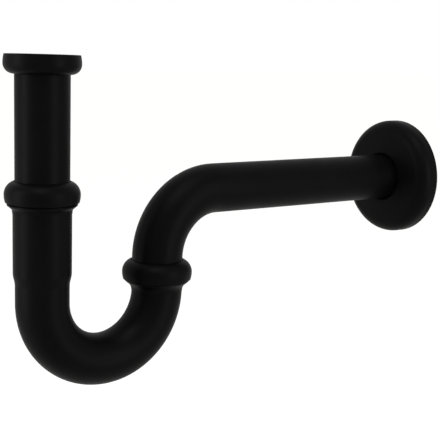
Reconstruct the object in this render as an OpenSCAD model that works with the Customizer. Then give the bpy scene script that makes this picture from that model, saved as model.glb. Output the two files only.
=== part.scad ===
// Tubular P-trap for a wash basin: inlet union, height-adjustable slide joint,
// U-bend, outlet union and a wall arm with a sliding rosette.
// Origin: middle of the inlet nut's open end, where the basin waste screws in.
// +Z points up the inlet, the arm runs along +X to the wall. Millimetres.

/* [Tube] */
// Outside diameter of the drain tube
tube_d = 32; // [31:0.25:32.5]
// Wall thickness of every tube
tube_wall = 1.1; // [0.8:0.1:1.4]
// Radial gap between the dip tube and the socket that it slides in
slide_gap = 0.1; // [0.05:0.05:0.3]

/* [Layout] */
// From the top of the inlet nut down to the top of the slide nut
slide_nut_drop = 72.2; // [60:1:95]
// From the top of the slide nut down to where the socket starts to narrow
socket_reach = 54.5; // [50:0.5:70]
// Length of the S-shaped neck below the socket
neck_len = 7.8; // [6:0.2:12]
// Straight tube between the neck and the U-bend
inlet_leg = 10.7; // [2:0.1:30]
// Distance between the axes of the two legs
leg_spacing = 80; // [72:1:100]
// From the middle of the U-bend up to the outlet ferrule's rim
outlet_leg = 13.1; // [11:0.1:30]
// Radius of the arm's bend at the tube's centre line
arm_bend_r = 42; // [34:1:50]
// Straight tube between the outlet nut and the arm's bend
arm_stub = 0.8; // [0.5:0.1:10]
// Straight arm from its bend to the wall
arm_reach = 168; // [120:1:220]
// Tube that goes on past the rosette, into the wall
spigot_len = 20; // [15:1:40]
// Dip tube left between its lower end and the socket's neck
dip_tube_spare = 9.7; // [4:0.1:20]

/* [Screw joints] */
// Outside diameter of the G 1 1/4 pipe thread
thread_d = 41.91; // [41.41:0.1:42.41]
// Radial running gap of a thread and of the seal on the tube
running_gap = 0.05; // [0.02:0.01:0.1]
// Gap between faces that clamp or turn on each other
seat_gap = 0.1; // [0.05:0.05:0.2]
// Radial gap between a nut and the tube in it
nut_bore_gap = 0.45; // [0.3:0.05:0.6]
// Width across the chamber that holds flange and gasket in a nut
chamber_d = 37.8; // [37.2:0.1:38.4]
// Radial gap round what lies in that chamber
chamber_gap = 0.3; // [0.1:0.1:0.5]
// Radius of the bend where a tube's end is flared to a flange
flare_r = 1; // [0.6:0.1:1.2]
// Height of a nut's bare bore between its thread and the ferrule's rim
thread_lead = 0.2; // [0.1:0.1:0.5]

/* [Inlet nut] */
// Largest diameter of the inlet nut
inlet_nut_d = 44.8; // [44.4:0.1:48]
// Height of the inlet nut
inlet_nut_h = 11.2; // [10.6:0.1:16]
// Radius of the round shoulder of the inlet nut
inlet_crown_r = 6; // [4:0.5:7]
// Depth of the seat below the inlet nut's crown
inlet_seat_depth = 2.2; // [1.8:0.1:2.6]
// Thickness of the gasket in the inlet nut
inlet_gasket_h = 2; // [1.5:0.1:2.4]

/* [Slide and outlet nuts] */
// Largest diameter of the slide nut and the outlet nut
nut_d = 44.3; // [44.1:0.1:48]
// Height of the slide nut and the outlet nut
nut_h = 12.6; // [12:0.1:18]
// Radius of the round shoulder of these nuts
crown_r = 8; // [5:0.5:9]
// Depth of the seat below these nuts' crown
seat_depth = 2.7; // [2.6:0.1:3]
// How far every nut draws in towards its open end
mouth_in = 0.65; // [0.3:0.05:0.8]
// Width of the chamfer inside a nut's mouth
mouth_chamfer = 0.4; // [0.2:0.1:0.5]

/* [Seals] */
// Thickness of the slip ring under the slide nut
slip_ring_h = 1.2; // [0.8:0.1:1.4]
// Height of the wedge seal's head above the ferrule
seal_head_h = 2.5; // [2:0.1:3]
// Height of the wedge seal's taper
wedge_taper_h = 2.8; // [2:0.1:3.2]
// Thickness of the gasket in the outlet nut
outlet_gasket_h = 1.9; // [1.2:0.1:2.2]
// Inside diameter of both flat gaskets
gasket_bore_d = 30.4; // [29:0.2:32]

/* [Ferrules] */
// Height of a ferrule's thread
ferrule_thread_h = 6.4; // [6:0.1:10]
// Height of the undercut below the thread
undercut_h = 0.5; // [0.3:0.1:1]
// Diameter of that undercut
undercut_d = 38.9; // [38:0.1:39.5]
// Diameter of the shoulder ring
shoulder_d = 41; // [40:0.1:42]
// Height of the shoulder ring's edge
shoulder_h = 0.8; // [0.5:0.1:2]
// Height of the cone below the shoulder ring
cone_h = 2.3; // [1.5:0.1:4]
// Height of the inlet ferrule's neck below that cone
inlet_neck_h = 2.5; // [1.5:0.1:4]
// Height of the outlet ferrule's neck below that cone
outlet_neck_h = 4.1; // [3:0.1:4.5]
// How far the inlet ferrule's neck flares out
inlet_neck_flare = 0.35; // [0.2:0.05:0.6]
// How far the outlet ferrule's neck flares out
outlet_neck_flare = 1.55; // [1:0.05:2]
// Width of the neck's step at its foot
neck_lip = 0.2; // [0.1:0.05:0.4]
// Radial gap round the tube, filled by the braze
braze_gap = 0.08; // [0.05:0.01:0.15]
// Depth of the conical mouth that takes the wedge seal
mouth_h = 3.4; // [3.2:0.1:4]
// Height of the lip that the socket's end rests against
stop_h = 1; // [0.6:0.1:2]

/* [Rosette] */
// Diameter of the wall rosette
rosette_d = 81.6; // [70:0.2:100]
// Thickness of the rosette's sheet
sheet_t = 1; // [0.6:0.1:1.5]
// Radius of the rosette's round edge
edge_r = 9.5; // [6:0.5:12]
// Height of the straight rim at the wall
rim_h = 5.5; // [2:0.5:12]
// Radius of the slightly domed face
dome_r = 220; // [150:10:400]
// Radius of the roll where the face turns in along the tube
roll_r = 2; // [1.6:0.1:3]
// Distance from the wall to the collar behind that roll
collar_stop = 7.5; // [3:0.5:10]

/* [Hidden] */
$fn = 96;

paint = "#1c1c1d";
rubber = "#2a2a2b";
polythene = "#e8e6df";

// overshoot of a cut past the face that it opens
past = 1;
// width of the small chamfer that deburrs a cut tube end
deburr = 0.4;
// steps that draw the curve of a neck
neck_steps = 10;
// angle of the faint edges where the rosette's face meets its round borders
soft_angle = 3.5;

tube_r = tube_d / 2;
bore_r = tube_r - tube_wall;
socket_bore_r = tube_r + slide_gap;
socket_r = socket_bore_r + tube_wall;
thread_r = thread_d / 2;
male_thread_r = thread_r - running_gap;
chamber_r = chamber_d / 2;
flange_r = chamber_r - chamber_gap;
nut_bore_r = tube_r + nut_bore_gap;

// inlet joint, up from the nut's crown
inlet_flange_z = -inlet_nut_h + inlet_seat_depth + seat_gap;
inlet_gasket_z = inlet_flange_z + tube_wall;
inlet_gasket_top_z = inlet_gasket_z + inlet_gasket_h;
inlet_thread_from = inlet_nut_h + inlet_gasket_top_z + seat_gap;

// slide joint, down from the nut's crown
slide_nut_z = -slide_nut_drop;
slip_ring_z = slide_nut_z - seat_depth - seat_gap - slip_ring_h;
inlet_ferrule_z = slip_ring_z - seat_gap - seal_head_h;
slide_thread_from = slide_nut_z - inlet_ferrule_z - thread_lead;
socket_top_z = inlet_ferrule_z - mouth_h - stop_h;
socket_end_z = slide_nut_z - socket_reach;
neck_end_z = socket_end_z - neck_len;
dip_tube_end_z = socket_end_z + dip_tube_spare;

// inlet ferrule's conical mouth and the wedge seal in it
mouth_foot_r = tube_r + chamber_gap;
mouth_top_r = chamber_r - 2 * seat_gap;
mouth_taper = (mouth_top_r - mouth_foot_r) / mouth_h;

// U-bend and outlet joint, up from the bend
bend_r = leg_spacing / 2;
bend_z = neck_end_z - inlet_leg;
outlet_ferrule_z = bend_z + outlet_leg;
outlet_gasket_z = outlet_ferrule_z + seat_gap / 2;
outlet_gasket_top_z = outlet_gasket_z + outlet_gasket_h;
outlet_flange_z = outlet_gasket_top_z + seat_gap / 2;
outlet_nut_z = outlet_flange_z + tube_wall + seat_gap + seat_depth;
outlet_thread_from = outlet_nut_z - outlet_ferrule_z - thread_lead;

// arm and rosette
arm_bend_z = outlet_nut_z + arm_stub;
arm_z = arm_bend_z + arm_bend_r;
arm_start_x = leg_spacing + arm_bend_r;
arm_len = arm_reach + spigot_len;
wall_x = arm_start_x + arm_reach;
rosette_r = rosette_d / 2;
hole_r = tube_r + running_gap;

// heights in a ferrule, down from its rim
undercut_z = -ferrule_thread_h;
shoulder_z = undercut_z - undercut_h;
cone_z = shoulder_z - shoulder_h;
cone_foot_z = cone_z - cone_h;

// radius of an arc that moves sideways by offset while it runs over height,
// rounded to a hundredth so that the arcs that it meets close exactly
function arc_radius(height, offset) =
    round(50 * (height * height + offset * offset) / offset) / 100;

// outside radius of the socket's neck at step i: half a cosine wave
function neck_r(i) = tube_r + (socket_r - tube_r) * (1 + cos(180 * i / neck_steps)) / 2;

// height of that step
function step_z(i) = socket_end_z - neck_len * i / neck_steps;

// rectangle between two corners
module box2d(low, high) {
    translate(low)
        square([high.x - low.x, high.y - low.y]);
}

// straight tube on the Z axis between two heights
module pipe(outer_r, inner_r, low, high) {
    rotate_extrude()
        box2d([inner_r, low], [outer_r, high]);
}

// tube bent round the Z axis, from one angle to another
module elbow(centre_r, from, to) {
    rotate_extrude(angle = to - from, start = from)
        translate([centre_r, 0])
            difference() {
                circle(r = tube_r);
                circle(r = bore_r);
            }
}

// half section of a tube's end that is flared to a flange; the flange lies
// on z = 0 and the tube hangs below it
module flared_end() {
    box2d([tube_r + flare_r, 0], [flange_r, tube_wall]);
    translate([tube_r + flare_r, -flare_r])
        intersection() {
            difference() {
                circle(r = flare_r + tube_wall);
                circle(r = flare_r);
            }
            box2d([-flare_r - tube_wall, 0], [0, flare_r + tube_wall]);
        }
}

// half section of the chamfer on a cut tube's outer edge at z = 0, tube below
module deburr_cut() {
    polygon([
        [tube_r - deburr - past, past],
        [tube_r + past, past],
        [tube_r + past, -deburr - past]
    ]);
}

// half section of a union nut, crown at z = 0 and open end down
module nut_section(r, h, crown, seat, thread_from) {
    barrel_r = arc_radius(h - crown, mouth_in);
    crown_x = r - crown;
    difference() {
        union() {
            box2d([0, -crown], [crown_x, 0]);
            intersection() {
                translate([crown_x, -crown])
                    circle(r = crown);
                box2d([crown_x, -crown], [r + past, past]);
            }
            intersection() {
                translate([r - barrel_r, -crown])
                    circle(r = barrel_r);
                box2d([0, -h], [r + past, -crown]);
            }
        }
        box2d([-past, -h - past], [nut_bore_r, past]);
        box2d([-past, -thread_from - past], [chamber_r, -seat]);
        box2d([-past, -h - past], [thread_r, -thread_from]);
        // lead-in at the thread's mouth
        polygon([
            [thread_r - past, -h - past],
            [thread_r + mouth_chamfer + past, -h - past],
            [thread_r - past, -h + mouth_chamfer + past]
        ]);
        // room for the bend of the tube's flare
        polygon([
            [nut_bore_r - past, -seat - past],
            [nut_bore_r + flare_r + past, -seat - past],
            [nut_bore_r - past, -seat + flare_r + past]
        ]);
    }
}

// outside of a ferrule's half section: thread, undercut, shoulder ring and
// cone down from its rim at z = 0, then a hollow-sided neck onto the tube
module ferrule_outline(on_r, neck_h, flare) {
    neck_foot_z = cone_foot_z - neck_h;
    neck_arc_r = arc_radius(neck_h, flare);
    neck_angle = asin(neck_h / neck_arc_r);
    polygon(concat(
        [
            [0, 0],
            [male_thread_r, 0],
            [male_thread_r, undercut_z],
            [undercut_d / 2, undercut_z],
            [undercut_d / 2, shoulder_z],
            [shoulder_d / 2, shoulder_z],
            [shoulder_d / 2, cone_z]
        ],
        [
            for (i = [neck_steps : -1 : 0])
                let (a = neck_angle * i / neck_steps)
                    [
                        on_r + neck_lip + neck_arc_r * (1 - cos(a)),
                        neck_foot_z + neck_arc_r * sin(a)
                    ]
        ],
        [[0, neck_foot_z]]
    ));
}

// half section of the space inside the rosette's outer surface, or inset by
// the sheet: straight rim, round edge, domed face and inner roll
module rosette_space(inset, low) {
    edge_x = rosette_r - edge_r;
    edge_meets = acos(edge_x / (dome_r - edge_r));
    edge_angle = edge_meets - soft_angle;
    edge_cut_x = edge_x + (edge_r - inset) * cos(edge_meets);
    dome_z = rim_h + edge_r * sin(edge_angle)
        - sqrt(pow(dome_r, 2) - pow(edge_x + edge_r * cos(edge_angle), 2));
    roll_x = hole_r + roll_r;
    roll_meets = acos(roll_x / (dome_r - roll_r));
    roll_angle = roll_meets + soft_angle;
    roll_cut_x = roll_x + (roll_r - inset) * cos(roll_meets);
    roll_z = dome_z - roll_r * sin(roll_angle)
        + sqrt(pow(dome_r, 2) - pow(roll_x + roll_r * cos(roll_angle), 2));
    above = rim_h + 2 * edge_r;
    difference() {
        intersection() {
            union() {
                box2d([hole_r + inset, low], [rosette_r - inset, rim_h]);
                box2d([hole_r + inset, rim_h], [edge_cut_x, above]);
                intersection() {
                    translate([edge_x, rim_h])
                        circle(r = edge_r - inset);
                    box2d([edge_x, rim_h], [rosette_r, above]);
                }
            }
            translate([0, dome_z])
                circle(r = dome_r - inset);
        }
        difference() {
            box2d([0, roll_z], [roll_cut_x, above]);
            translate([roll_x, roll_z])
                circle(r = roll_r - inset);
        }
    }
}

module inlet_nut() {
    color(paint)
        translate([0, 0, -inlet_nut_h])
            mirror([0, 0, 1])
                rotate_extrude()
                    nut_section(inlet_nut_d / 2, inlet_nut_h, inlet_crown_r,
                        inlet_seat_depth, inlet_thread_from);
}

module inlet_gasket() {
    color(rubber)
        pipe(flange_r, gasket_bore_d / 2, inlet_gasket_z, inlet_gasket_top_z);
}

module inlet_tube() {
    color(paint)
        rotate_extrude()
            difference() {
                union() {
                    translate([0, inlet_flange_z])
                        flared_end();
                    box2d([bore_r, dip_tube_end_z], [tube_r, inlet_flange_z - flare_r]);
                }
                translate([0, dip_tube_end_z])
                    mirror([0, 1])
                        deburr_cut();
            }
}

module slide_nut() {
    color(paint)
        translate([0, 0, slide_nut_z])
            rotate_extrude()
                nut_section(nut_d / 2, nut_h, crown_r, seat_depth, slide_thread_from);
}

module slip_ring() {
    color(polythene)
        pipe(flange_r, tube_r + chamber_gap, slip_ring_z, slip_ring_z + slip_ring_h);
}

module wedge_seal() {
    seal_r = tube_r + running_gap;
    // the taper stands clear of the mouth by this much along the axis
    lift = 2 * seat_gap;
    color(rubber)
        translate([0, 0, inlet_ferrule_z])
            rotate_extrude()
                polygon([
                    [seal_r, seal_head_h],
                    [flange_r, seal_head_h],
                    [flange_r, lift - (mouth_top_r - flange_r) / mouth_taper],
                    [mouth_top_r - mouth_taper * (wedge_taper_h + lift), -wedge_taper_h],
                    [seal_r, -wedge_taper_h]
                ]);
}

module inlet_collar() {
    foot_z = cone_foot_z - inlet_neck_h - past;
    color(paint)
        translate([0, 0, inlet_ferrule_z])
            rotate_extrude()
                difference() {
                    ferrule_outline(socket_r, inlet_neck_h, inlet_neck_flare);
                    box2d([-past, foot_z], [mouth_foot_r, past]);
                    polygon([
                        [0, -mouth_h],
                        [mouth_foot_r, -mouth_h],
                        [mouth_top_r, 0],
                        [mouth_top_r, past],
                        [0, past]
                    ]);
                    box2d([0, foot_z], [socket_r + braze_gap, -mouth_h - stop_h]);
                }
}

module trap_bend() {
    color(paint) {
        rotate_extrude()
            polygon(concat(
                [[socket_r, socket_top_z]],
                [for (i = [0 : neck_steps]) [neck_r(i), step_z(i)]],
                [[tube_r, bend_z], [bore_r, bend_z]],
                [for (i = [neck_steps : -1 : 0]) [neck_r(i) - tube_wall, step_z(i)]],
                [[socket_bore_r, socket_top_z]]
            ));
        translate([bend_r, 0, bend_z])
            rotate([90, 0, 0])
                elbow(bend_r, 180, 360);
        translate([leg_spacing, 0, 0])
            pipe(tube_r, bore_r, bend_z, outlet_ferrule_z);
    }
}

module outlet_collar() {
    foot_z = cone_foot_z - outlet_neck_h - past;
    color(paint)
        translate([leg_spacing, 0, outlet_ferrule_z])
            rotate_extrude()
                difference() {
                    ferrule_outline(tube_r, outlet_neck_h, outlet_neck_flare);
                    box2d([-past, foot_z], [tube_r + braze_gap, past]);
                }
}

module outlet_gasket() {
    color(rubber)
        translate([leg_spacing, 0, 0])
            pipe(flange_r, gasket_bore_d / 2, outlet_gasket_z, outlet_gasket_top_z);
}

module outlet_nut() {
    color(paint)
        translate([leg_spacing, 0, outlet_nut_z])
            rotate_extrude()
                nut_section(nut_d / 2, nut_h, crown_r, seat_depth, outlet_thread_from);
}

module outlet_tube() {
    flange_top_z = outlet_flange_z + tube_wall;
    color(paint) {
        translate([leg_spacing, 0, 0])
            rotate_extrude() {
                translate([0, flange_top_z])
                    mirror([0, 1])
                        flared_end();
                box2d([bore_r, flange_top_z + flare_r], [tube_r, arm_bend_z]);
            }
        translate([arm_start_x, 0, arm_bend_z])
            rotate([90, 0, 0])
                elbow(arm_bend_r, 90, 180);
        translate([arm_start_x, 0, arm_z])
            rotate([0, 90, 0])
                rotate_extrude()
                    difference() {
                        box2d([bore_r, 0], [tube_r, arm_len]);
                        translate([0, arm_len])
                            deburr_cut();
                    }
    }
}

module wall_rosette() {
    color(paint)
        translate([wall_x, 0, arm_z])
            rotate([0, -90, 0])
                rotate_extrude()
                    difference() {
                        rosette_space(0, 0);
                        rosette_space(sheet_t, -past);
                        // the collar stops short of the wall
                        box2d([0, -past], [hole_r + sheet_t + past, collar_stop]);
                    }
}

inlet_nut();
inlet_gasket();
inlet_tube();
slide_nut();
slip_ring();
wedge_seal();
inlet_collar();
trap_bend();
outlet_collar();
outlet_gasket();
outlet_nut();
outlet_tube();
wall_rosette();
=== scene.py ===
from math import pi

import bpy
from mathutils import Matrix, Vector


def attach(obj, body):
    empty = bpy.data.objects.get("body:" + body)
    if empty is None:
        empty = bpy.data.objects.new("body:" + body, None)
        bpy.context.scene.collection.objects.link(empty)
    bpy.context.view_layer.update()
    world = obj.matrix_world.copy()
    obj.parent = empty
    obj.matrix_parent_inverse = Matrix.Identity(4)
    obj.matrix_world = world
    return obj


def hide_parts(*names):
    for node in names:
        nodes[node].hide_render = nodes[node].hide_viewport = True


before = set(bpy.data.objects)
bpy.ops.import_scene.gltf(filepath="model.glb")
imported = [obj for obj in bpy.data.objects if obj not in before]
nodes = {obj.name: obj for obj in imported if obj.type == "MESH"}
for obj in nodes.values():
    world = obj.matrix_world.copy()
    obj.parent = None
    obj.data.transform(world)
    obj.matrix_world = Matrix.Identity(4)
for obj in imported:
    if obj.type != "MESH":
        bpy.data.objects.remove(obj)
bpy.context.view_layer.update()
scene = bpy.context.scene

# Camera. The photograph looks along the arm from the front left, a little
# from above, through a long lens and with the frame tilted slightly.
PHOTO_WIDTH_PX = 440
FOCAL_PX = 1025.3
camera_data = bpy.data.cameras.new("photo_camera")
camera_data.sensor_width = 36.0
camera_data.lens = camera_data.sensor_width * FOCAL_PX / PHOTO_WIDTH_PX
camera_data.clip_start = 0.01
camera = bpy.data.objects.new("photo_camera", camera_data)
scene.collection.objects.link(camera)
heading, look_down, frame_tilt = -0.6340, 0.1662, 0.0296
camera.matrix_world = (
    Matrix.Translation((-0.265585, -0.535908, 0.006479))
    @ Matrix.Rotation(heading, 4, "Z")
    @ Matrix.Rotation(pi / 2 - look_down, 4, "X")
    @ Matrix.Rotation(frame_tilt, 4, "Z")
)
scene.camera = camera
scene.view_settings.view_transform = "Standard"


# Studio floor. A matt white painted floor, half a metre below the trap, which
# hangs from its basin. It takes the soft shadow and looks white to the camera.
def linear(hex_colour):
    """A hex sRGB colour as linear RGBA."""
    channels = [int(hex_colour[i : i + 2], 16) / 255 for i in (1, 3, 5)]
    return [c / 12.92 if c <= 0.04045 else ((c + 0.055) / 1.055) ** 2.4 for c in channels] + [1.0]


def add_node(tree, kind, values={}, **settings):
    """A new node with these settings; values are numbers, or outputs of other nodes to link."""
    node = tree.nodes.new(kind)
    for name, value in settings.items():
        setattr(node, name, value)
    for socket, value in values.items():
        if isinstance(value, bpy.types.NodeSocket):
            tree.links.new(value, node.inputs[socket])
        else:
            node.inputs[socket].default_value = value
    return node


def new_tree(owner):
    """The emptied node tree of a material or world."""
    owner.use_nodes = True
    owner.node_tree.nodes.clear()
    return owner.node_tree


def seen_directly(tree, ray):
    """One where the camera or a reflection looks, zero where light is only gathered."""
    return add_node(tree, "ShaderNodeMath", {
        0: ray.outputs["Is Camera Ray"],
        1: ray.outputs["Is Glossy Ray"],
    }, operation="MAXIMUM")


FLOOR_Z = -0.55
FLOOR_SIZE = 40
FLOOR_GLOW = 0.42
bpy.ops.object.select_all(action="DESELECT")
bpy.ops.mesh.primitive_plane_add(size=FLOOR_SIZE, location=(0, 0, FLOOR_Z))
floor = bpy.context.object
floor.name = "studio_floor"
bpy.ops.object.transform_apply(location=True)
floor_paint = bpy.data.materials.new("matt white floor paint")
tree = new_tree(floor_paint)
ray = add_node(tree, "ShaderNodeLightPath")
seen = seen_directly(tree, ray)
glow_strength = add_node(tree, "ShaderNodeMath", {0: seen.outputs[0], 1: FLOOR_GLOW}, operation="MULTIPLY")
glow = add_node(tree, "ShaderNodeEmission", {
    "Color": linear("#ffffff"),
    "Strength": glow_strength.outputs[0],
})
paint = add_node(tree, "ShaderNodeBsdfDiffuse", {"Color": linear("#dadad8")})
floor_shader = add_node(tree, "ShaderNodeAddShader", {0: paint.outputs[0], 1: glow.outputs[0]})
add_node(tree, "ShaderNodeOutputMaterial", {"Surface": floor_shader.outputs[0]})
floor.data.materials.append(floor_paint)

# Studio air. White wherever the camera or a reflection looks at it, and a
# weaker white as light, which fills the shadows.
world = bpy.data.worlds.new("white_studio")
scene.world = world
tree = new_tree(world)
ray = add_node(tree, "ShaderNodeLightPath")
seen = add_node(tree, "ShaderNodeMath", {
    0: seen_directly(tree, ray).outputs[0],
    1: ray.outputs["Is Transmission Ray"],
}, operation="MAXIMUM")
strength = add_node(tree, "ShaderNodeMapRange", {"Value": seen.outputs[0], "To Min": 0.4, "To Max": 1.0})
sky = add_node(tree, "ShaderNodeBackground", {"Color": linear("#ffffff"), "Strength": strength.outputs[0]})
add_node(tree, "ShaderNodeOutputWorld", {"Surface": sky.outputs[0]})

# Lamps. A wide soft lamp overhead, and two tall soft boxes that draw the
# faint light strips along both sides of the tubes.
sun_data = bpy.data.lights.new("overhead_lamp", "SUN")
sun_data.energy = 1.5
sun_data.angle = 0.6
sun = bpy.data.objects.new("overhead_lamp", sun_data)
sun.rotation_euler = (0.35, -0.25, 0)
scene.collection.objects.link(sun)
for name, place, width, height, power in (
    ("left_soft_box", (-0.95, 0.25, 0.05), 0.35, 1.3, 10.0),
    ("right_soft_box", (0.55, -1.15, 0.05), 0.45, 1.3, 9.0),
):
    lamp_data = bpy.data.lights.new(name, "AREA")
    lamp_data.shape = "RECTANGLE"
    lamp_data.size = width
    lamp_data.size_y = height
    lamp_data.energy = power
    lamp = bpy.data.objects.new(name, lamp_data)
    lamp.location = place
    aim = Vector((0.08, 0, -0.1)) - Vector(place)
    lamp.rotation_euler = aim.to_track_quat("-Z", "Y").to_euler()
    scene.collection.objects.link(lamp)


# Inlet nut. Turned from brass bar, with a round shoulder, and powder coated
# matt black; its G 1 1/4 thread is plugged while it is coated and stays bare.
# It screws onto the tail of the basin waste.
MM = 0.001
PITCH = 2.309 * MM
PITCH_R = 20.2155 * MM
FLANK_SLOPE = 0.5206  # tangent of half the Whitworth thread angle, 27.5 degrees
FLANK_PLAY = 0.03 * MM
MAJOR_R = 20.955
MINOR_R = 19.476
CREST_GAP = 0.05  # between a crest and the other thread's root
THREAD_TURNS = 6  # more than any of the three threads needs, then trimmed


def powder_coat(tree, coordinates):
    """Shader output of the coat: very dark, dull, with the fine orange peel of baked powder."""
    # the peel's dimples are about 0.7 mm across and a few hundredths deep
    peel = add_node(tree, "ShaderNodeTexNoise", {
        "Vector": coordinates,
        "Scale": 1 / (0.7 * MM),
        "Detail": 3.0,
        "Roughness": 0.55,
    })
    # the coat's gloss and depth wander a little from place to place
    cloud = add_node(tree, "ShaderNodeTexNoise", {
        "Vector": coordinates,
        "Scale": 1 / (18 * MM),
        "Detail": 4.0,
        "Roughness": 0.6,
    })
    dullness = add_node(tree, "ShaderNodeMapRange", {
        "Value": cloud.outputs["Fac"],
        "From Min": 0.3,
        "From Max": 0.7,
        "To Min": 0.40,
        "To Max": 0.50,
    })
    grain = add_node(tree, "ShaderNodeMath", {
        0: cloud.outputs["Fac"],
        1: peel.outputs["Fac"],
    }, operation="MULTIPLY")
    shade = add_node(tree, "ShaderNodeValToRGB", {"Fac": grain.outputs[0]})
    shade.color_ramp.elements[0].position = 0.12
    shade.color_ramp.elements[0].color = linear("#030303")
    shade.color_ramp.elements[1].position = 0.42
    shade.color_ramp.elements[1].color = linear("#060606")
    dimples = add_node(tree, "ShaderNodeBump", {
        "Height": peel.outputs["Fac"],
        "Strength": 0.25,
        "Distance": 0.03 * MM,
    })
    coat = add_node(tree, "ShaderNodeBsdfPrincipled", {
        "Base Color": shade.outputs["Color"],
        "Roughness": dullness.outputs[0],
        "Specular IOR Level": 0.03,
        "Normal": dimples.outputs["Normal"],
    })
    return coat.outputs[0]


def bare_brass(tree, coordinates):
    """Shader output of brass as the tool left it: warm, satin, slightly tarnished."""
    # the tarnish clouds are about 4 mm across, the tool's rings half a millimetre apart
    cloud = add_node(tree, "ShaderNodeTexNoise", {
        "Vector": coordinates,
        "Scale": 1 / (4 * MM),
        "Detail": 5.0,
        "Roughness": 0.6,
    })
    # a wave texture draws about three bands to each unit of its scale
    rings = add_node(tree, "ShaderNodeTexWave", {
        "Vector": coordinates,
        "Scale": 1 / (1.6 * MM),
        "Distortion": 1.2,
        "Detail": 1.0,
    }, wave_type="BANDS", bands_direction="Z")
    tarnish = add_node(tree, "ShaderNodeValToRGB", {"Fac": cloud.outputs["Fac"]})
    tarnish.color_ramp.elements[0].position = 0.3
    tarnish.color_ramp.elements[0].color = linear("#a9874b")
    tarnish.color_ramp.elements[1].position = 0.65
    tarnish.color_ramp.elements[1].color = linear("#cfae6d")
    dullness = add_node(tree, "ShaderNodeMapRange", {
        "Value": cloud.outputs["Fac"],
        "From Min": 0.3,
        "From Max": 0.7,
        "To Min": 0.42,
        "To Max": 0.28,
    })
    marks = add_node(tree, "ShaderNodeBump", {
        "Height": rings.outputs["Fac"],
        "Strength": 0.2,
        "Distance": 0.01 * MM,
    })
    brass = add_node(tree, "ShaderNodeBsdfPrincipled", {
        "Base Color": tarnish.outputs["Color"],
        "Metallic": 1.0,
        "Roughness": dullness.outputs[0],
        "Normal": marks.outputs["Normal"],
    })
    return brass.outputs[0]


def coated_nut(name, axis_x, crown_z, up, seat_depth, thread_depth, mouth_depth):
    """Material of a union nut: coated outside, bare brass from its seat to near its mouth.

    Depths run from the crown towards the mouth, upwards where up is 1.
    """
    material = bpy.data.materials.new(name)
    tree = new_tree(material)
    place = add_node(tree, "ShaderNodeTexCoord").outputs["Object"]
    at = add_node(tree, "ShaderNodeMapping", {"Vector": place, "Location": (-axis_x, 0, 0)})
    part = add_node(tree, "ShaderNodeSeparateXYZ", {"Vector": at.outputs[0]})
    flat = add_node(tree, "ShaderNodeCombineXYZ", {"X": part.outputs["X"], "Y": part.outputs["Y"]})
    radius = add_node(tree, "ShaderNodeVectorMath", {0: flat.outputs[0]}, operation="LENGTH")
    depth = add_node(tree, "ShaderNodeMath", {
        0: part.outputs["Z"],
        1: up,
        2: -crown_z * up,
    }, operation="MULTIPLY_ADD")
    shallow = add_node(tree, "ShaderNodeMath", {0: depth.outputs[0], 1: mouth_depth}, operation="LESS_THAN")
    zones = []
    for from_depth, within_radius in ((seat_depth, 19.4 * MM), (thread_depth, 21.0 * MM)):
        start = from_depth - 0.05 * MM
        deep = add_node(tree, "ShaderNodeMath", {0: depth.outputs[0], 1: start}, operation="GREATER_THAN")
        inner = add_node(tree, "ShaderNodeMath", {
            0: radius.outputs["Value"],
            1: within_radius,
        }, operation="LESS_THAN")
        zones.append(add_node(tree, "ShaderNodeMath", {
            0: deep.outputs[0],
            1: inner.outputs[0],
        }, operation="MULTIPLY"))
    zone = add_node(tree, "ShaderNodeMath", {
        0: zones[0].outputs[0],
        1: zones[1].outputs[0],
    }, operation="MAXIMUM")
    bare = add_node(tree, "ShaderNodeMath", {
        0: zone.outputs[0],
        1: shallow.outputs[0],
    }, operation="MULTIPLY")
    both = add_node(tree, "ShaderNodeMixShader", {
        0: bare.outputs[0],
        1: powder_coat(tree, place),
        2: bare_brass(tree, place),
    })
    add_node(tree, "ShaderNodeOutputMaterial", {"Surface": both.outputs[0]})
    return material


def turned(name, rings, axis_x, segments=128):
    """A closed turned piece round a vertical axis, extruded from ring to ring.

    Each ring is a radius and a height in mm.
    """
    bpy.ops.object.select_all(action="DESELECT")
    rings = [(ring_r * MM, ring_z * MM) for ring_r, ring_z in rings]
    radius, height = rings[0]
    bpy.ops.mesh.primitive_circle_add(
        vertices=segments,
        radius=radius,
        fill_type="NOTHING",
        location=(axis_x, 0, height),
    )
    piece = bpy.context.object
    piece.name = name
    bpy.ops.object.transform_apply(location=True)
    bpy.ops.object.mode_set(mode="EDIT")
    bpy.ops.mesh.select_all(action="SELECT")
    for next_radius, next_height in rings[1:] + rings[:1]:
        bpy.ops.mesh.extrude_edges_move(TRANSFORM_OT_translate={"value": (0, 0, next_height - height)})
        grow = next_radius / radius
        bpy.ops.transform.resize(value=(grow, grow, 1), center_override=(axis_x, 0, next_height))
        radius, height = next_radius, next_height
    bpy.ops.mesh.select_all(action="SELECT")
    bpy.ops.mesh.remove_doubles(threshold=0.000001)
    bpy.ops.mesh.normals_make_consistent(inside=False)
    bpy.ops.object.mode_set(mode="OBJECT")
    return piece


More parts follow.
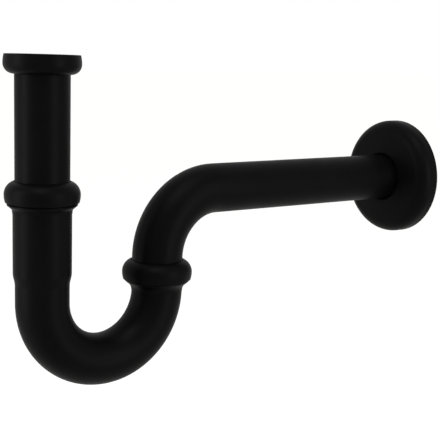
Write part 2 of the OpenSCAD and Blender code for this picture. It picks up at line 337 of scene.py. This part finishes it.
def thread_ridge(name, section, axis_x, middle_z, low_z, high_z):
    """A right-handed thread's ridge, wound into a helix and cut flat at two heights.

    Heights are in mm, and the section's points are mm from the axis and from the middle height.
    """
    bpy.ops.object.select_all(action="DESELECT")
    bpy.ops.mesh.primitive_circle_add(vertices=len(section), radius=1 * MM, fill_type="NOTHING")
    piece = bpy.context.object
    piece.name = name
    turns = THREAD_TURNS
    for vertex, (radius, rise) in zip(piece.data.vertices, section):
        vertex.co = (radius * MM, 0, rise * MM)
    winding = piece.modifiers.new("winding", "SCREW")
    winding.axis = "Z"
    winding.angle = 2 * pi
    winding.screw_offset = PITCH
    winding.iterations = turns
    winding.steps = winding.render_steps = 96
    winding.use_merge_vertices = True
    winding.merge_threshold = 0.000001
    bpy.ops.object.modifier_apply(modifier="winding")
    piece.data.transform(Matrix.Translation((axis_x, 0, middle_z * MM - turns / 2 * PITCH)))
    bpy.ops.object.mode_set(mode="EDIT")
    bpy.ops.mesh.select_all(action="DESELECT")
    bpy.ops.mesh.select_non_manifold()
    bpy.ops.mesh.fill_holes(sides=0)
    for cut_z, upwards in ((low_z, -1), (high_z, 1)):
        bpy.ops.mesh.select_all(action="SELECT")
        bpy.ops.mesh.bisect(
            plane_co=(axis_x, 0, cut_z * MM),
            plane_no=(0, 0, upwards),
            use_fill=True,
            clear_outer=True,
            threshold=0.0000001,
        )
    bpy.ops.mesh.select_all(action="SELECT")
    bpy.ops.mesh.normals_make_consistent(inside=False)
    bpy.ops.object.mode_set(mode="OBJECT")
    bpy.ops.object.shade_smooth_by_angle(angle=0.6)
    return piece


# The nut's ridge stands inwards from the thread's root, and its foot lies a
# little inside the nut's wall.
NUT_CREST_R = MINOR_R + CREST_GAP
NUT_FOOT_R = 21.1
ridge_foot = (PITCH / 4 + (MAJOR_R * MM - PITCH_R) * FLANK_SLOPE - FLANK_PLAY) / MM
ridge_crest = (PITCH / 4 - (PITCH_R - NUT_CREST_R * MM) * FLANK_SLOPE - FLANK_PLAY) / MM
NUT_RIDGE = (
    (NUT_FOOT_R, -ridge_foot),
    (MAJOR_R, -ridge_foot),
    (NUT_CREST_R, -ridge_crest),
    (NUT_CREST_R, ridge_crest),
    (MAJOR_R, ridge_foot),
    (NUT_FOOT_R, ridge_foot),
)


def dress(name, material):
    """Give a CAD node its material."""
    nodes[name].data.materials.clear()
    nodes[name].data.materials.append(material)


dress("inlet_nut", coated_nut(
    "matt black powder coat on turned brass, inlet nut",
    0, -11.2 * MM, 1, 2.2 * MM, 5.5 * MM, 10.4 * MM,
))

cut_brass = bpy.data.materials.new("bare brass, thread cut")
tree = new_tree(cut_brass)
place = add_node(tree, "ShaderNodeTexCoord").outputs["Object"]
add_node(tree, "ShaderNodeOutputMaterial", {"Surface": bare_brass(tree, place)})

inlet_nut_thread = thread_ridge("inlet_nut_thread", NUT_RIDGE, 0, -3.0, -5.65, -0.6)
inlet_nut_thread.data.materials.append(cut_brass)
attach(inlet_nut_thread, "inlet_nut")

# Seals. Two flat rings stamped from black EPDM rubber sheet, and the moulded
# wedge ring in the socket's mouth: dull, finely textured by plates and mould.
seal_rubber = bpy.data.materials.new("black EPDM rubber, pressed sheet")
tree = new_tree(seal_rubber)
place = add_node(tree, "ShaderNodeTexCoord").outputs["Object"]
# the press plates leave a texture of about 0.3 mm
texture = add_node(tree, "ShaderNodeTexNoise", {"Vector": place, "Scale": 1 / (0.3 * MM), "Detail": 2.0})
# and grey bloom lies on it in patches of about 6 mm
bloom = add_node(tree, "ShaderNodeTexNoise", {"Vector": place, "Scale": 1 / (6 * MM), "Detail": 3.0})
shade = add_node(tree, "ShaderNodeValToRGB", {"Fac": bloom.outputs["Fac"]})
shade.color_ramp.elements[0].color = linear("#1b1b1c")
shade.color_ramp.elements[1].color = linear("#2b2b2c")
pressed = add_node(tree, "ShaderNodeBump", {
    "Height": texture.outputs["Fac"],
    "Strength": 0.4,
    "Distance": 0.03 * MM,
})
rubber = add_node(tree, "ShaderNodeBsdfPrincipled", {
    "Base Color": shade.outputs["Color"],
    "Roughness": 0.75,
    "Normal": pressed.outputs["Normal"],
})
add_node(tree, "ShaderNodeOutputMaterial", {"Surface": rubber.outputs[0]})
for name in ("inlet_gasket", "wedge_seal", "outlet_gasket"):
    dress(name, seal_rubber)

# Inlet tube. Drawn 32 mm brass tube, turned out to a flange at its top, powder
# coated outside. The nut hangs on its flange and its foot slides in the socket.
BEND_R = 40 * MM
BEND_Z = -145.2 * MM
TUBE_MID_R = 15.45 * MM  # halfway through the tube's wall
SOCKET_MID_R = 16.65 * MM  # and through the socket's
SOCKET_END_Z = -126.7 * MM
NECK_END_Z = -134.5 * MM


def limited(tree, value, start, limit):
    """The distance of a coordinate from start, held at zero on one side."""
    moved = add_node(tree, "ShaderNodeMath", {0: value, 1: start}, operation="SUBTRACT")
    if limit is None:
        return moved.outputs[0]
    return add_node(tree, "ShaderNodeMath", {0: moved.outputs[0], 1: 0.0}, operation=limit).outputs[0]


def coated_pipe(name, bend_x, bend_z, bend_radius, x_limit, z_limit, bare_within, bare_in_socket):
    """Material of a bent tube: coated outside, bare drawn brass within its wall's middle."""
    material = bpy.data.materials.new(name)
    tree = new_tree(material)
    place = add_node(tree, "ShaderNodeTexCoord").outputs["Object"]
    part = add_node(tree, "ShaderNodeSeparateXYZ", {"Vector": place})
    along_x = limited(tree, part.outputs["X"], bend_x, x_limit)
    along_z = limited(tree, part.outputs["Z"], bend_z, z_limit)
    in_plane = add_node(tree, "ShaderNodeCombineXYZ", {"X": along_x, "Z": along_z})
    from_centre = add_node(tree, "ShaderNodeVectorMath", {0: in_plane.outputs[0]}, operation="LENGTH")
    off_bend = add_node(tree, "ShaderNodeMath", {
        0: from_centre.outputs["Value"],
        1: bend_radius,
    }, operation="SUBTRACT")
    off_axis = add_node(tree, "ShaderNodeCombineXYZ", {"X": off_bend.outputs[0], "Y": part.outputs["Y"]})
    radius = add_node(tree, "ShaderNodeVectorMath", {0: off_axis.outputs[0]}, operation="LENGTH")
    wall = add_node(tree, "ShaderNodeMapRange", {
        "Value": part.outputs["Z"],
        "From Min": NECK_END_Z,
        "From Max": SOCKET_END_Z,
        "To Min": bare_within,
        "To Max": bare_in_socket,
    })
    bare = add_node(tree, "ShaderNodeMath", {
        0: radius.outputs["Value"],
        1: wall.outputs[0],
    }, operation="LESS_THAN")
    both = add_node(tree, "ShaderNodeMixShader", {
        0: bare.outputs[0],
        1: powder_coat(tree, place),
        2: bare_brass(tree, place),
    })
    add_node(tree, "ShaderNodeOutputMaterial", {"Surface": both.outputs[0]})
    return material


dress("inlet_tube", coated_pipe(
    "matt black powder coat on drawn brass, inlet tube",
    BEND_R, BEND_Z, BEND_R, None, "MINIMUM", TUBE_MID_R, TUBE_MID_R,
))

# Slip ring. Natural polythene, moulded, waxy and milky: it lets the slide nut
# turn on the seal without dragging the rubber round. Hidden inside the nut.
natural_polythene = bpy.data.materials.new("natural polythene, moulded")
tree = new_tree(natural_polythene)
place = add_node(tree, "ShaderNodeTexCoord").outputs["Object"]
# flow lines of the melt, about 5 mm apart, barely seen
flow = add_node(tree, "ShaderNodeTexNoise", {"Vector": place, "Scale": 1 / (5 * MM), "Detail": 2.0})
milk = add_node(tree, "ShaderNodeValToRGB", {"Fac": flow.outputs["Fac"]})
milk.color_ramp.elements[0].color = linear("#dcdad2")
milk.color_ramp.elements[1].color = linear("#eceae3")
wax = add_node(tree, "ShaderNodeBsdfPrincipled", {
    "Base Color": milk.outputs["Color"],
    "Roughness": 0.42,
    "Subsurface Weight": 0.3,
    "Subsurface Scale": 1 * MM,
})
add_node(tree, "ShaderNodeOutputMaterial", {"Surface": wax.outputs[0]})
dress("slip_ring", natural_polythene)

# Slide nut. Turned brass union nut with a domed crown, powder coated. It
# screws down the ferrule and squeezes the wedge seal round the inlet tube.
SLIDE_NUT_Z = -72.2
INLET_FERRULE_Z = -78.8
SEAT_DEPTH = 2.7
HALF_PITCH = PITCH / 2 / MM

# the ferrules' ridges stand outwards and mesh with the nuts', half a pitch off
STUD_CREST_R = MAJOR_R - CREST_GAP
STUD_FOOT_R = 19.25
stud_foot = (PITCH / 4 + (PITCH_R - MINOR_R * MM) * FLANK_SLOPE - FLANK_PLAY) / MM
stud_crest = (PITCH / 4 - (STUD_CREST_R * MM - PITCH_R) * FLANK_SLOPE - FLANK_PLAY) / MM
FERRULE_RIDGE = (
    (STUD_FOOT_R, -stud_foot),
    (MINOR_R, -stud_foot),
    (STUD_CREST_R, -stud_crest),
    (STUD_CREST_R, stud_crest),
    (MINOR_R, stud_foot),
    (STUD_FOOT_R, stud_foot),
)


def nut_thread(name, axis_x, middle_z, top_z, mouth_z):
    """Ridge in a nut that opens downwards, from top_z to its mouth."""
    ridge = thread_ridge(name, NUT_RIDGE, axis_x, middle_z, mouth_z, top_z)
    ridge.data.materials.append(cut_brass)
    return ridge


INLET_THREAD_MIDDLE = INLET_FERRULE_Z - 3.2
dress("slide_nut", coated_nut(
    "matt black powder coat on turned brass, slide nut",
    0, SLIDE_NUT_Z * MM, -1, SEAT_DEPTH * MM, 6.4 * MM, 12.15 * MM,
))
slide_nut_thread = nut_thread(
    "slide_nut_thread", 0, INLET_THREAD_MIDDLE + HALF_PITCH, -78.65, -84.35,
)
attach(slide_nut_thread, "slide_nut")

# Inlet ferrule. Turned brass ring brazed on the socket's rim: thread, undercut,
# shoulder and a cone that runs out onto the tube. Coated with the bend.
NECK_STEPS = 12


def neck_curve(on_r, height, flare, foot_z):
    """Hollow-sided neck: a quarter-like arc from its wide top down onto the tube."""
    arc_r = (height * height + flare * flare) / (2 * flare)
    steps = [height * i / NECK_STEPS for i in range(NECK_STEPS, -1, -1)]
    return [(on_r + 0.2 + arc_r - (arc_r * arc_r - rise * rise) ** 0.5, foot_z + rise) for rise in steps]


def ferrule(name, axis_x, rim_z, neck, bore, ridge_middle):
    """A ferrule's turned body and its thread's ridge, as two pieces."""
    thread_root = [(19.05, 0), (19.43, -0.35), (19.43, -6.9)]
    shoulder = [(20.4, -6.9), (20.5, -7.0), (20.5, -7.62), (20.4, -7.77)]
    outside = thread_root + shoulder
    body = turned(name, [(r, rim_z + z) for r, z in outside + neck + bore], axis_x)
    bpy.ops.object.shade_smooth_by_angle(angle=0.45)
    body.data.materials.append(ferrule_coat)
    low_z, high_z = rim_z - 6.4, rim_z - 0.5
    ridge = thread_ridge(name + "_thread", FERRULE_RIDGE, axis_x, ridge_middle, low_z, high_z)
    ridge.data.materials.append(ferrule_coat)
    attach(ridge, "bend")
    return body


ferrule_coat = bpy.data.materials.new("matt black powder coat on turned brass, ferrules")
tree = new_tree(ferrule_coat)
place = add_node(tree, "ShaderNodeTexCoord").outputs["Object"]
add_node(tree, "ShaderNodeOutputMaterial", {"Surface": powder_coat(tree, place)})

inlet_bore = [(17.28, -12.5), (17.28, -4.4), (16.3, -4.4), (16.3, -3.4), (18.7, 0)]
inlet_neck = neck_curve(17.2, 2.5, 0.35, -12.5)
inlet_ferrule = ferrule(
    "inlet_ferrule", 0, INLET_FERRULE_Z, inlet_neck, inlet_bore, INLET_THREAD_MIDDLE,
)
dress("inlet_collar", ferrule_coat)
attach(inlet_ferrule, "bend")
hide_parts("inlet_collar")

# Trap bend. Drawn brass tube bent to a U, its inlet end widened to a socket for
# the inlet tube, powder coated outside after the ferrules were brazed on.
dress("trap_bend", coated_pipe(
    "matt black powder coat on drawn brass, trap bend",
    BEND_R, BEND_Z, BEND_R, None, "MINIMUM", TUBE_MID_R, SOCKET_MID_R,
))

# Outlet ferrule. The same turned ring on the plain outlet leg, with a longer
# neck down to the thinner tube. Its rim carries the flat gasket.
OUTLET_X = 2 * BEND_R
OUTLET_FERRULE_Z = -132.1
OUTLET_THREAD_MIDDLE = OUTLET_FERRULE_Z - 3.2
outlet_bore = [(16.08, -14.1), (16.08, 0)]
outlet_neck = neck_curve(16.0, 4.1, 1.55, -14.1)
outlet_ferrule = ferrule(
    "outlet_ferrule", OUTLET_X, OUTLET_FERRULE_Z, outlet_neck, outlet_bore, OUTLET_THREAD_MIDDLE,
)
dress("outlet_collar", ferrule_coat)
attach(outlet_ferrule, "bend")
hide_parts("outlet_collar")

# Outlet nut. The slide nut's twin, loose on the arm. It pulls the arm's flange
# down on the flat gasket and the outlet ferrule's rim.
dress("outlet_nut", coated_nut(
    "matt black powder coat on turned brass, outlet nut",
    OUTLET_X, -126.2 * MM, -1, SEAT_DEPTH * MM, 5.7 * MM, 12.15 * MM,
))
outlet_nut_thread = nut_thread(
    "outlet_nut_thread", OUTLET_X, OUTLET_THREAD_MIDDLE + HALF_PITCH, -131.95, -138.35,
)
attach(outlet_nut_thread, "outlet_nut")

# Arm. Drawn 32 mm brass tube with a flange at its lower end, bent a quarter
# turn to the wall, powder coated outside and cut to length at the wall.
ARM_BEND_R = 42 * MM
ARM_BEND_Z = -125.4 * MM
dress("outlet_tube", coated_pipe(
    "matt black powder coat on drawn brass, arm",
    OUTLET_X + ARM_BEND_R, ARM_BEND_Z, ARM_BEND_R, "MINIMUM", "MAXIMUM", TUBE_MID_R, TUBE_MID_R,
))

# Wall rosette. Pressed from 1 mm brass sheet: slightly domed, with a round edge
# and an inner roll that grips the arm. Coated all over, pushed on by hand.
rosette_coat = bpy.data.materials.new("matt black powder coat on pressed brass sheet")
tree = new_tree(rosette_coat)
place = add_node(tree, "ShaderNodeTexCoord").outputs["Object"]
add_node(tree, "ShaderNodeOutputMaterial", {"Surface": powder_coat(tree, place)})
dress("wall_rosette", rosette_coat)
